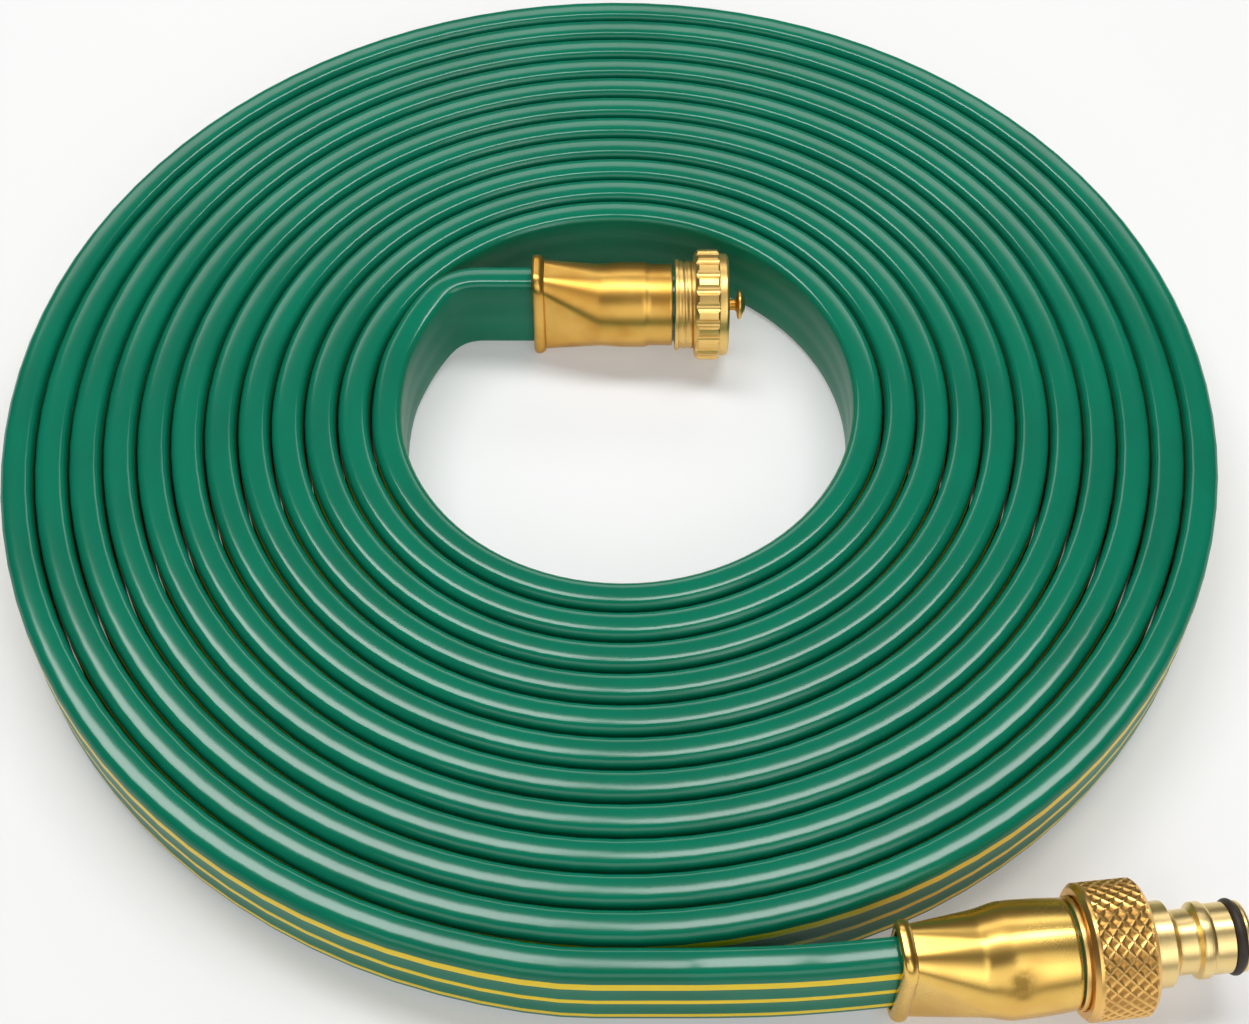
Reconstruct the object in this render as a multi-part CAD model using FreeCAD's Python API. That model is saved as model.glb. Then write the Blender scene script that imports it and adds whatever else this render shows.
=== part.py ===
"""Flat three-channel soaker hose wound on edge, with a crimped brass fitting at each end."""
import FreeCAD, Part
import math
import os
from FreeCAD import Placement, Rotation, Vector

# Hose band and flat spiral, mm
band_width = 23.0
band_thickness = 7.6
turn_pitch = 8.1
spiral_base = 55.2
quarter_turns = 44
inner_pull_in = 1.2
end_straight = band_thickness

# Fitting axes: height over the floor, mouth places and headings
axis_height = 15.0
inlet_mouth = (56.3, -147.4)
inlet_yaw = 6.3
cap_mouth = (-22.35, 36.1)
cap_yaw = 0.0

# Free stretches of hose between the coil and the fittings
outer_lead_run = 11.5
inlet_run_in = 16.0
inner_lead_run = 6.5
inner_bend_start = (-51.6, 23.2)
inner_bend_end = (-43.0, 34.9)
inner_rise_start = 0.9
inner_rise_end = 2.3
cap_run_in = 9.0

# Ferrules
wall = 1.0
mouth_height = 27.2
mouth_thick = 9.8
mouth_corner = 2.6
bead_length = 3.2
bead_proud = 1.35
bead_edge = 0.8
neck_share = 0.48
round_share = 0.67
flat_angle = 4.0
corner_steps = 8
inlet_ferrule_length = 36.7
inlet_ferrule_od = 24.2
inlet_neck_od = 21.8
inlet_ferrule_end_od = 23.0
end_ferrule_length = 36.05
end_ferrule_od = 22.0
end_neck_od = 21.2
step_od = 21.1
step_length = 7.0
end_round_bore = 19.1
fit_gap = 0.05

# Hose tails pressed into the hose ends
tail_bore = 13.5
spigot_od = 17.6
spigot_inside = 14.5
collar_od = 23.6
collar_length = 1.0
thread_od = 22.9
thread_pitch = 1.814
thread_fit = 0.06
inlet_hose_out = 0.5
end_hose_out = 0.7
inlet_thread_length = 8.7
end_thread_length = 8.2

# Inlet connector, one turned piece
nut_od = 28.4
nut_length = 13.5
nut_gap = 0.3
nut_chamfer = 0.9
shoulder_od = 17.8
shoulder_end = 5.2
waist_start = 6.6
waist_od = 13.4
waist_end = 10.4
latch_od = 15.9
latch_start = 11.2
latch_end = 13.8
latch_edge = 0.6
barrel_od = 14.6
groove_start = 18.0
groove_width = 2.2
tip_od = 14.8
tip_end = 21.5
tip_edge = 0.6
water_bore = 10.5
ring_section = 1.9
ring_od = 15.9

# Washers
inlet_washer_thick = 2.0
end_washer_thick = 2.4
washer_side_gap = 0.3

# End cap with its chain stud
cap_ring_od = 28.4
cap_ring_length = 6.2
cap_rim_od = 26.4
cap_rim_length = 2.5
cap_rim_edge = 0.7
cap_wall = 2.2
visible_thread = 4.1
flute_count = 20
flute_radius = 1.5
flute_depth = 0.7
stud_stem_od = 3.0
stud_stem_length = 2.5
stud_head_od = 7.6
stud_head_length = 2.1
stud_head_rise = 0.85
stud_tip_od = 3.8
cap_turns = 2.0

up = Vector(0, 0, 1)
mid_height = band_width / 2


def flat_point(x, y, z=mid_height):
    """Point on the hose's centreline."""
    return Vector(x, y, z)


def bearing(angle):
    """Unit vector from the coil's centre, counted counter-clockwise from +Y."""
    turn = math.radians(angle)
    return Vector(-math.sin(turn), math.cos(turn), 0)


def coil_wire():
    """Quarter arcs about four centres, so neighbouring turns keep one pitch everywhere."""
    offset = turn_pitch / 8
    radius = spiral_base + turn_pitch / 2 + offset
    centre = flat_point(offset, offset)
    bottom = centre + bearing(180) * radius
    inner_radius = radius - 2 * offset - inner_pull_in
    inner_centre = bottom - bearing(180) * inner_radius
    left = inner_centre + bearing(90) * inner_radius
    start = left + Vector(0, end_straight, 0)
    edges = [Part.LineSegment(start, left).toShape()]
    middle = inner_centre + bearing(135) * inner_radius
    edges.append(Part.Arc(left, middle, bottom).toShape())
    angle = 180
    for _ in range(quarter_turns):
        first = centre + bearing(angle) * radius
        middle = centre + bearing(angle + 45) * radius
        last = centre + bearing(angle + 90) * radius
        edges.append(Part.Arc(first, middle, last).toShape())
        angle += 90
        centre = centre - bearing(angle) * (turn_pitch / 4)
        radius += turn_pitch / 4
    finish = last + Vector(end_straight, 0, 0)
    edges.append(Part.LineSegment(last, finish).toShape())
    return Part.Wire(edges), start, finish


def band_section(place, heading):
    """Upright rectangle square to a level heading."""
    side = up.cross(heading)
    half = band_thickness / 2
    corners = []
    for a, b in ((-half, -mid_height), (half, -mid_height), (half, mid_height), (-half, mid_height)):
        corners.append(place + side * a + up * b)
    return Part.Wire(Part.makePolygon(corners + corners[:1]))


def rounded_path(corners, name):
    """Straight runs joined by tangent arcs; prints each radius."""
    edges = []
    here = corners[0]
    radii = []
    for before, corner, after in zip(corners, corners[1:], corners[2:]):
        run_in = corner - before
        run_out = after - corner
        turn = run_in.getAngle(run_out)
        cut = 0.45 * min(run_in.Length, run_out.Length)
        radii.append(round(cut / math.tan(turn / 2), 1))
        a = corner - run_in.normalize() * cut
        b = corner + run_out.normalize() * cut
        bisector = (a + b) * 0.5 - corner
        radius = cut / math.tan(turn / 2)
        sag = radius / math.cos(turn / 2) - radius
        middle = corner + bisector.normalize() * sag
        edges.append(Part.LineSegment(here, a).toShape())
        edges.append(Part.Arc(a, middle, b).toShape())
        here = b
    edges.append(Part.LineSegment(here, corners[-1]).toShape())
    print(name, "bend radii", radii)
    return Part.Wire(edges)


def sweep_band(wire, place, heading, name):
    """Band swept along a wire with its width kept upright."""
    tool = Part.BRepOffsetAPI.MakePipeShell(wire)
    tool.setBiNormalMode(up)
    section = band_section(place, heading)
    tool.add(section)
    tool.build()
    tool.makeSolid()
    solid = tool.shape()
    expected = band_width * band_thickness * wire.Length
    print(name, "volume over section times length", round(solid.Volume / expected, 4), "valid", solid.isValid())
    return solid


def box_outline(x, thick, height, corner):
    """Points of a rounded rectangle square to the fitting axis."""
    points = []
    for quarter, (sy, sz) in enumerate(((1, 1), (-1, 1), (-1, -1), (1, -1))):
        y = sy * (thick / 2 - corner)
        z = sz * (height / 2 - corner)
        for index in range(corner_steps + 1):
            turn = math.radians(90 * (quarter + index / corner_steps))
            points.append(Vector(x, y + corner * math.cos(turn), z + corner * math.sin(turn)))
    return points


def ring_outline(x, diameter):
    """As many points on a circle, with short chords where the flats arrive."""
    points = []
    for quarter in range(4):
        for index in range(corner_steps + 1):
            degrees = 90 * quarter + flat_angle + (90 - 2 * flat_angle) * index / corner_steps
            turn = math.radians(degrees)
            points.append(Vector(x, diameter / 2 * math.cos(turn), diameter / 2 * math.sin(turn)))
    return points


def polygon_face(points):
    """Plane face through its corners."""
    return Part.Face(Part.makePolygon(points + points[:1]))


def skinned(outlines):
    """Solid of plane panels between outlines with the same number of points."""
    faces = [polygon_face(outlines[0]), polygon_face(outlines[-1])]
    for low, high in zip(outlines, outlines[1:]):
        for index in range(len(low)):
            a, b, c, d = low[index - 1], low[index], high[index], high[index - 1]
            bent = abs((b - a).cross(d - a).dot(c - a)) > 1e-6
            if bent:
                faces.append(polygon_face([a, b, c]))
                faces.append(polygon_face([a, c, d]))
            else:
                faces.append(polygon_face([a, b, c, d]))
    shell = Part.makeShell(faces)
    shell.sewShape()
    solid = Part.makeSolid(shell)
    if solid.Volume < 0:
        solid.reverse()
    return solid


def turned(profile):
    """Solid of revolution about the fitting axis from (x, radius) points."""
    points = [Vector(x, r, 0) for x, r in profile]
    face = Part.Face(Part.makePolygon(points + points[:1]))
    return face.revolve(Vector(0, 0, 0), Vector(1, 0, 0), 360)


def rod(start, end, diameter):
    """Plain cylinder along the fitting axis."""
    return Part.makeCylinder(diameter / 2, end - start, Vector(start, 0, 0), Vector(1, 0, 0))


def flat_to_round(inset, length, neck, diameter, end):
    """Solid from the flat mouth, shrunk all round by the inset, over a pressed neck to a round length."""
    corner = mouth_corner - min(inset, wall)
    change = length * round_share
    flat = box_outline(0, mouth_thick - 2 * inset, mouth_height - 2 * inset, corner)
    outlines = [flat, ring_outline(length * neck_share, neck - 2 * inset), ring_outline(change, diameter)]
    if end > change:
        outlines.append(ring_outline(end, diameter))
    return skinned(outlines)


def ferrule(length, neck, outer_od, bore, end_od, step_back):
    """Crimped brass sleeve with a rolled bead round its flat mouth; a step back or a taper ends it."""
    change = length * round_share
    stop = length - step_back
    profile = [(change, 0), (change, outer_od / 2)]
    if step_back:
        profile.append((stop, outer_od / 2))
        profile.append((stop, end_od / 2))
    profile.append((length, end_od / 2))
    profile.append((length, 0))
    outer = flat_to_round(0.0, length, neck, outer_od, change).fuse(turned(profile))
    outlines = []
    for x, proud in ((0, -bead_edge), (bead_edge, 0), (bead_length - bead_edge, 0), (bead_length, -bead_edge)):
        grow = bead_proud + proud
        outlines.append(box_outline(x, mouth_thick + 2 * grow, mouth_height + 2 * grow, mouth_corner + grow))
    body = outer.fuse(skinned(outlines))
    return body.cut(flat_to_round(wall, length, neck, bore, length)).Solids[0]


def hose_end(length, neck, bore, out, tail_start):
    """Hose end shaped by the crimped sleeve, opened over the spigot."""
    width = bore - 2 * fit_gap
    body = flat_to_round(wall + fit_gap, length, neck, width, length + out)
    hole = rod(tail_start - fit_gap, length + out + 1, spigot_od + 2 * fit_gap)
    return body.cut(hole).Solids[0]


def tail(length, out, thread_length):
    """Spigot, collar and threaded nose, bored through."""
    start = length - spigot_inside
    collar = length + out
    nose = collar + collar_length
    end = nose + thread_length
    profile = [(start, tail_bore / 2), (start, spigot_od / 2), (collar, spigot_od / 2)]
    profile.append((collar, collar_od / 2))
    profile.append((nose, collar_od / 2))
    profile.append((nose, thread_od / 2))
    profile.append((end, thread_od / 2))
    profile.append((end, tail_bore / 2))
    return turned(profile), start, nose, end


def washer(start, thick):
    """Flat seal between the tail's nose and the seat."""
    outside = thread_od / 2 + thread_fit - washer_side_gap
    return turned([(start, tail_bore / 2), (start, outside), (start + thick, outside), (start + thick, tail_bore / 2)])


def connector(nose, end):
    """Screwed sleeve with its long turned plug; gives the solid and the sleeve's front."""
    rear = nose + nut_gap
    front = rear + nut_length
    seat = end + inlet_washer_thick
    female = thread_od / 2 + thread_fit
    groove_floor = ring_od / 2 - ring_section
    bore = water_bore / 2
    profile = [(rear, female), (rear, nut_od / 2 - nut_chamfer)]
    profile.append((rear + nut_chamfer, nut_od / 2))
    profile.append((front - nut_chamfer, nut_od / 2))
    profile.append((front, nut_od / 2 - nut_chamfer))
    profile.append((front, shoulder_od / 2))
    profile.append((front + shoulder_end, shoulder_od / 2))
    profile.append((front + waist_start, waist_od / 2))
    profile.append((front + waist_end, waist_od / 2))
    profile.append((front + latch_start, latch_od / 2))
    profile.append((front + latch_end - latch_edge, latch_od / 2))
    profile.append((front + latch_end, barrel_od / 2))
    profile.append((front + groove_start, barrel_od / 2))
    profile.append((front + groove_start, groove_floor))
    profile.append((front + groove_start + groove_width, groove_floor))
    profile.append((front + groove_start + groove_width, tip_od / 2))
    profile.append((front + tip_end - tip_edge, tip_od / 2))
    profile.append((front + tip_end, tip_od / 2 - tip_edge))
    profile.append((front + tip_end, bore))
    profile.append((seat, bore))
    profile.append((seat, female))
    return turned(profile), front


def sealing_ring(front):
    """Ring in the plug's groove, its section a plain six-sided one."""
    place = front + groove_start + groove_width / 2
    middle = (ring_od - ring_section) / 2
    profile = []
    for index in range(6):
        turn = math.radians(30 + 60 * index)
        reach = ring_section / 2
        profile.append((place + reach * math.cos(turn), middle + reach * math.sin(turn)))
    return turned(profile)


def end_cap(nose, end):
    """Fluted cap with its rim; gives the solid and its outer face."""
    rear = nose + visible_thread
    ring_end = rear + cap_ring_length
    face = ring_end + cap_rim_length
    female = thread_od / 2 + thread_fit
    seat = face - cap_wall
    body = rod(rear, ring_end, cap_ring_od)
    cutters = []
    for index in range(flute_count):
        turn = math.radians(360.0 / flute_count * (index + 0.5))
        reach = cap_ring_od / 2 + flute_radius - flute_depth
        place = Vector(rear - 1, reach * math.cos(turn), reach * math.sin(turn))
        cutters.append(Part.makeCylinder(flute_radius, cap_ring_length + 2, place, Vector(1, 0, 0)))
    body = body.cut(Part.makeCompound(cutters))
    rim = cap_rim_od / 2
    edge = face - cap_rim_edge
    profile = [(ring_end - 1, 0), (ring_end - 1, rim), (edge, rim), (face, rim - cap_rim_edge), (face, 0)]
    body = body.fuse(turned(profile))
    body = body.cut(rod(rear - 1, seat, 2 * female))
    body = body.cut(rod(seat - 1, face + 1, stud_stem_od + 2 * fit_gap))
    return body.Solids[0], seat, face


def stud(seat, face):
    """Headed stud for a holding chain, fixed through the cap's wall."""
    stem = stud_stem_od / 2
    head = face + stud_stem_length
    tip = head + stud_head_length
    profile = [(seat, 0), (seat, stem), (head, stem)]
    profile.append((head + stud_head_rise, stud_head_od / 2))
    profile.append((tip, stud_tip_od / 2))
    profile.append((tip, 0))
    return turned(profile)


def placed(shape, mouth, yaw):
    """Move a fitting piece from its own axis to its place on the hose."""
    copy = shape.copy()
    copy.Placement = Placement(Vector(mouth[0], mouth[1], axis_height), Rotation(up, yaw))
    return copy


# Hose
coil_path, coil_start, coil_finish = coil_wire()
coil_section = band_section(coil_start, Vector(0, -1, 0))
hose_coil = coil_path.makePipeShell([coil_section], True, False)
expected = band_width * band_thickness * coil_path.Length
print("coil length", round(coil_path.Length, 1), "volume ratio", round(hose_coil.Volume / expected, 5), "valid", hose_coil.isValid())

inlet_heading = Vector(math.cos(math.radians(inlet_yaw)), math.sin(math.radians(inlet_yaw)), 0)
inlet_end_point = Vector(inlet_mouth[0], inlet_mouth[1], axis_height)
outer_corners = [coil_finish]
outer_corners.append(coil_finish + Vector(outer_lead_run, 0, 0))
outer_corners.append(inlet_end_point - inlet_heading * inlet_run_in)
outer_corners.append(inlet_end_point)
outer_path = rounded_path(outer_corners, "outer lead")
hose_outer_lead = sweep_band(outer_path, coil_finish, Vector(1, 0, 0), "outer lead")

cap_end_point = Vector(cap_mouth[0], cap_mouth[1], axis_height)
inner_corners = [coil_start]
inner_corners.append(coil_start + Vector(0, inner_lead_run, 0))
inner_corners.append(flat_point(*inner_bend_start, mid_height + inner_rise_start))
inner_corners.append(flat_point(*inner_bend_end, mid_height + inner_rise_end))
inner_corners.append(cap_end_point - Vector(cap_run_in, 0, 0))
inner_corners.append(cap_end_point)
inner_path = rounded_path(inner_corners, "inner lead")
hose_inner_lead = sweep_band(inner_path, coil_start, Vector(0, 1, 0), "inner lead")

# Fittings on their own axis
inlet_tail, inlet_start, inlet_nose, inlet_nose_end = tail(inlet_ferrule_length, inlet_hose_out, inlet_thread_length)
end_tail, end_start, end_nose, end_nose_end = tail(end_ferrule_length, end_hose_out, end_thread_length)
inlet_bore = inlet_ferrule_end_od - 2 * wall
inlet_ferrule = ferrule(inlet_ferrule_length, inlet_neck_od, inlet_ferrule_od, inlet_bore, inlet_ferrule_end_od, 0)
end_ferrule = ferrule(end_ferrule_length, end_neck_od, end_ferrule_od, end_round_bore, step_od, step_length)
hose_inlet_end = hose_end(inlet_ferrule_length, inlet_neck_od, inlet_bore, inlet_hose_out, inlet_start)
hose_cap_end = hose_end(end_ferrule_length, end_neck_od, end_round_bore, end_hose_out, end_start)
inlet_washer = washer(inlet_nose_end, inlet_washer_thick)
inlet_connector, plug_base = connector(inlet_nose, inlet_nose_end)
connector_o_ring = sealing_ring(plug_base)
cap_body, cap_seat, cap_face = end_cap(end_nose, end_nose_end)
end_washer = washer(cap_seat - end_washer_thick, end_washer_thick)
chain_stud = stud(cap_seat, cap_face)
print("tail nose to cap washer", round(cap_seat - end_washer_thick - end_nose_end, 3))
print("latch ring centre", round(plug_base + (latch_start + latch_end) / 2, 3), "plug tip", round(plug_base + tip_end, 3))

nodes = {"hose_coil": hose_coil, "hose_outer_lead": hose_outer_lead, "hose_inner_lead": hose_inner_lead}
on_inlet = {"hose_inlet_end": hose_inlet_end, "inlet_ferrule": inlet_ferrule, "inlet_tail": inlet_tail}
on_inlet.update({"inlet_washer": inlet_washer, "inlet_connector": inlet_connector, "connector_o_ring": connector_o_ring})
on_cap = {"hose_cap_end": hose_cap_end, "end_ferrule": end_ferrule, "end_tail": end_tail}
on_cap.update({"end_washer": end_washer, "end_cap": cap_body, "chain_stud": chain_stud})
for name, shape in on_inlet.items():
    nodes[name] = placed(shape, inlet_mouth, inlet_yaw)
for name, shape in on_cap.items():
    nodes[name] = placed(shape, cap_mouth, cap_yaw)

# Least gaps, measured on points along the centreline
places = [(point.x, point.y) for point in coil_path.discretize(Distance=3.0)]
least = 1e9
for index in range(0, len(places), 2):
    x, y = places[index]
    for other_x, other_y in places[index + 40:index + 320]:
        least = min(least, math.hypot(x - other_x, y - other_y))
print("coil least gap to itself", round(least - band_thickness, 3))
fine = [(point.x, point.y) for point in coil_path.discretize(Distance=0.5)]
second = fine[240:1800]
least = 1e9
for point in inner_path.discretize(Distance=1.0):
    for x, y in second:
        least = min(least, math.hypot(point.x - x, point.y - y))
print("inner lead least gap to the next turn", round(least - band_thickness, 3))
travel = cap_turns * thread_pitch
moved = nodes["end_cap"].copy()
moved.translate(Vector(travel, 0, 0))
print("cap at rest to coil", round(nodes["end_cap"].distToShape(hose_coil)[0], 3), "at full travel", round(moved.distToShape(hose_coil)[0], 3))

# Origin under the middle of the whole, on the floor
whole = Part.makeCompound(list(nodes.values())).optimalBoundingBox(False, False)
shift = Vector(-whole.Center.x, -whole.Center.y, -whole.ZMin)
print("shift", [round(v, 4) for v in shift], "size", round(whole.XLength, 2), round(whole.YLength, 2), round(whole.ZLength, 2))
os.makedirs("parts", exist_ok=True)
for name, shape in nodes.items():
    moved = shape.copy()
    moved.translate(shift)
    moved.exportStep(os.path.join("parts", name + ".step"))
    print(name, moved.ShapeType, len(moved.Solids), len(moved.Faces), moved.isValid(), round(moved.Volume, 1))
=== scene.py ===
"""Soaker hose wound in a flat coil, with its two crimped brass fittings, on a pale floor."""
import logging
import math
from contextlib import contextmanager
from dataclasses import dataclass, field
from enum import Enum
from typing import Any, Callable, Iterator, Optional, Sequence, Union

import bpy
from mathutils import Matrix, Vector


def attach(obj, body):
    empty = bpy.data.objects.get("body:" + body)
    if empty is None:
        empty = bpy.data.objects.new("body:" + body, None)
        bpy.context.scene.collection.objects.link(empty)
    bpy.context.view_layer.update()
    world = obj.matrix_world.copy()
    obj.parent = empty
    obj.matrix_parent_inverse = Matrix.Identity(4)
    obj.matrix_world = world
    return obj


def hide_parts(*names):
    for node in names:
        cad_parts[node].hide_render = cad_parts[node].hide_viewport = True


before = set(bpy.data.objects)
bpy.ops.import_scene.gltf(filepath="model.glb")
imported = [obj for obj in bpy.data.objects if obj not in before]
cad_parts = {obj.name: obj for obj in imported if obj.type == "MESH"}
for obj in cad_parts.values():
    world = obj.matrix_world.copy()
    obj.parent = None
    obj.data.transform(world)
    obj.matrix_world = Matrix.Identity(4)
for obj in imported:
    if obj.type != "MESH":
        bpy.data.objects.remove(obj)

log = logging.getLogger("soaker_hose")
MM = 0.001
QUARTER = math.pi / 2
UP = Vector((0.0, 0.0, 1.0))
Colour = tuple[float, float, float, float]
Material = bpy.types.Material
Number = Union[float, "Signal"]
Pair = tuple[float, float]
Outline = list[Pair]
Piece = bpy.types.Object
Place = tuple[float, float, float]
Ring = list[Vector]
Steps = tuple[int, int, int]

# Place of the hose's own centre in the row frame, as the part's source shifts it
SHIFT = Vector((2.025, 4.5454, 0.0))

# Signs of a section's four corners, counter-clockwise
CORNERS = ((1, 1), (-1, 1), (-1, -1), (1, -1))

# Room between an outside thread and the plain hole that takes it, mm
THREAD_ROOM = 0.06

# Outside of the plug up to its groove: place from the nut's front face and radius, mm
PLUG: Outline = [
    (0.0, 9.1), (0.12, 8.92), (0.35, 8.9), (4.95, 8.9), (5.2, 8.75), (6.35, 6.95), (6.6, 6.73), (6.9, 6.7),
    (10.1, 6.7), (10.4, 6.85), (10.9, 7.55), (11.1, 7.8), (11.4, 7.95), (13.0, 7.95), (13.3, 7.85),
    (13.65, 7.45), (13.95, 7.3),
]

# Outside of the chain stud: place from the cap's face and radius, mm
STUD: Outline = [
    (1.9, 1.5), (2.2, 1.7), (2.4, 2.3), (2.5, 3.2), (2.6, 3.55), (2.8, 3.75), (3.1, 3.8), (3.4, 3.75),
    (3.65, 3.5), (3.8, 3.0), (3.9, 2.4), (4.15, 2.15), (4.4, 1.8), (4.55, 1.1), (4.6, 0.0),
]


class Body(Enum):
    """Bodies of the frame that the pieces ride on."""

    HOSE = "hose_body"
    INLET = "inlet_swivel"
    CAP = "cap_turning"


class Slot(Enum):
    """Material slots of the record."""

    HOSE = "hose"
    BRASS = "brass"
    SEAL = "seal"


# Shader maths


class Signal:
    """A number inside a material, with Python's operators."""

    def __init__(self, shader: "Shader", socket: bpy.types.NodeSocket) -> None:
        """Wrap a socket of a shader."""
        self.shader = shader
        self.socket = socket

    def _math(self, operation: str, first: Number, second: Number = 0.0) -> "Signal":
        """Add one Math node."""
        node = self.shader.node("ShaderNodeMath", {"operation": operation}, {0: first, 1: second})
        return Signal(self.shader, node.outputs[0])

    def __add__(self, other: Number) -> "Signal":
        """Sum."""
        return self._math("ADD", self, other)

    __radd__ = __add__

    def __mul__(self, other: Number) -> "Signal":
        """Product."""
        return self._math("MULTIPLY", self, other)

    __rmul__ = __mul__

    def __sub__(self, other: Number) -> "Signal":
        """Difference."""
        return self._math("SUBTRACT", self, other)

    def __rsub__(self, other: Number) -> "Signal":
        """Difference from a plain number."""
        return self._math("SUBTRACT", other, self)

    def __abs__(self) -> "Signal":
        """Size without sign."""
        return self._math("ABSOLUTE", self)

    def most(self, other: Number) -> "Signal":
        """Larger of the two."""
        return self._math("MAXIMUM", self, other)

    def ramp(self, low: float, high: float, start: float = 0.0, end: float = 1.0) -> "Signal":
        """Smooth step from start to end between low and high."""
        settings = {"interpolation_type": "SMOOTHSTEP"}
        sockets = {0: self, 1: low, 2: high, 3: start, 4: end}
        return Signal(self.shader, self.shader.node("ShaderNodeMapRange", settings, sockets).outputs[0])


class Shader:
    """Node tree of one material."""

    def __init__(self, name: str) -> None:
        """Start an empty material."""
        self.material = bpy.data.materials.new(name)
        self.material.use_nodes = True
        self.tree = self.material.node_tree
        self.tree.nodes.clear()
        self.output = self.tree.nodes.new("ShaderNodeOutputMaterial")

    def node(self, kind: str, settings: dict[str, Any], sockets: dict[Any, Any]) -> bpy.types.Node:
        """Add a node.

        Args:
            kind: node type.
            settings: its own settings, set first.
            sockets: values or links of its inputs.

        Returns:
            The new node.
        """
        made = self.tree.nodes.new(kind)
        for name, value in settings.items():
            setattr(made, name, value)
        for key, value in sockets.items():
            if isinstance(value, (Signal, bpy.types.NodeSocket)):
                self.tree.links.new(getattr(value, "socket", value), made.inputs[key])
            else:
                made.inputs[key].default_value = value
        return made

    def attribute(self, name: str) -> Signal:
        """Read a number stored on the piece's vertices."""
        return Signal(self, self.node("ShaderNodeAttribute", {"attribute_name": name}, {}).outputs["Fac"])

    def noise(self, scale: float, detail: float = 3.0, place: Any = None) -> Signal:
        """Add noise.

        Args:
            scale: cells per unit of place.
            detail: number of octaves.
            place: vector or single number that it reads, else the place on the object.

        Returns:
            A number round 0.5.
        """
        kind, key = ("1D", "W") if isinstance(place, Signal) else ("3D", "Vector")
        if place is None:
            place = self.node("ShaderNodeTexCoord", {}, {}).outputs["Object"]
        sockets = {key: place, "Scale": scale, "Detail": detail}
        return Signal(self, self.node("ShaderNodeTexNoise", {"noise_dimensions": kind}, sockets).outputs[0])

    def combine(self, x: Number, y: Number, z: Number) -> bpy.types.NodeSocket:
        """Vector of three numbers."""
        return self.node("ShaderNodeCombineXYZ", {}, {0: x, 1: y, 2: z}).outputs[0]

    def blend(self, share: Number, first: Any, second: Any) -> bpy.types.NodeSocket:
        """Mix two colours."""
        made = self.node("ShaderNodeMix", {"data_type": "RGBA"}, {0: share, 6: first, 7: second})
        return made.outputs[2]

    def bump(self, height: Number, strength: float, distance: float) -> bpy.types.NodeSocket:
        """Normal from a height."""
        sockets = {"Height": height, "Strength": strength, "Distance": distance}
        return self.node("ShaderNodeBump", {}, sockets).outputs[0]

    def surface(self, sockets: dict[str, Any], glow: float = 0.0) -> Material:
        """Close the material with one principled surface.

        Args:
            sockets: values or links of its inputs.
            glow: share of plain white that is seen directly.

        Returns:
            The material.
        """
        made = self.node("ShaderNodeBsdfPrincipled", {}, sockets)
        if glow:
            path = self.node("ShaderNodeLightPath", {}, {}).outputs
            rays = [Signal(self, path[f"Is {name} Ray"]) for name in ("Camera", "Glossy", "Transmission")]
            white = self.node("ShaderNodeEmission", {}, {"Color": colour(1.0, 1.0, 1.0), "Strength": 1.0})
            share = rays[0].most(rays[1]).most(rays[2]) * glow
            made = self.node("ShaderNodeMixShader", {}, {0: share, 1: made.outputs[0], 2: white.outputs[0]})
        self.tree.links.new(made.outputs[0], self.output.inputs[0])
        return self.material


def colour(red: float, green: float, blue: float) -> Colour:
    """Linear colour with full alpha."""
    return (red, green, blue, 1.0)


@dataclass(frozen=True)
class BrassFinish:
    """Bright brass: turned pieces carry fine rings, pressed ones a soft polish.

    A piece with a split is knurled behind that place, metres along its axis, and gets painted shade in the
    knurl's pits.
    """

    name: str
    light: Colour = colour(0.88, 0.58, 0.15)
    deep: Colour = colour(0.80, 0.49, 0.12)
    roughness: float = 0.26
    ring_depth: float = 0.0
    grain: float = 0.008
    split: float = 0.0
    rear: Colour = colour(0.90, 0.55, 0.17)
    # Colour of the painted shade in knurl pits, and of the painted dark reflection at a dimple
    painted_shade_and_reflection: Colour = colour(0.16, 0.085, 0.012)

    def make(self) -> Material:
        """Build the material.

        Returns:
            The material.
        """
        shader = Shader(self.name)
        cloud = shader.noise(90.0, 2.0)
        fine = shader.noise(2600.0, 3.0)
        tint = shader.blend(cloud.ramp(0.35, 0.7), self.light, self.deep)
        height = fine * self.grain
        rough = self.roughness + 0.08 * (cloud - 0.5) + 0.02 * (fine - 0.5)
        if self.split:
            # Painted shade: the knurl's pits are darker, and rougher, the deeper they lie
            pits = shader.attribute("painted_shade_and_reflection").ramp(0.2, 1.0, 0.0, 0.8)
            knurled = shader.blend(pits, self.rear, self.painted_shade_and_reflection)
            plug = shader.attribute("along").ramp(self.split, self.split + 0.2 * MM)
            tint = shader.blend(plug, knurled, tint)
            rough = rough + 0.12 * pits
        elif not self.ring_depth:
            # Painted dark reflection round the dimple, mottled by noise
            painted_dark_reflection = shader.attribute("painted_shade_and_reflection") * (0.1 + 1.5 * shader.noise(480.0, 4.0))
            tint = shader.blend(painted_dark_reflection.ramp(0.15, 0.85, 0.0, 0.65), tint, self.painted_shade_and_reflection)
            rough = rough + 0.12 * painted_dark_reflection
        if self.ring_depth:
            rings = shader.noise(3200.0, 2.0, shader.attribute("along"))
            height = height + rings * self.ring_depth
            rough = rough + 0.10 * (rings - 0.5)
        normal = shader.bump(height, 0.35, 0.0001)
        return shader.surface({"Base Color": tint, "Metallic": 1.0, "Roughness": rough, "Normal": normal})


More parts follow.
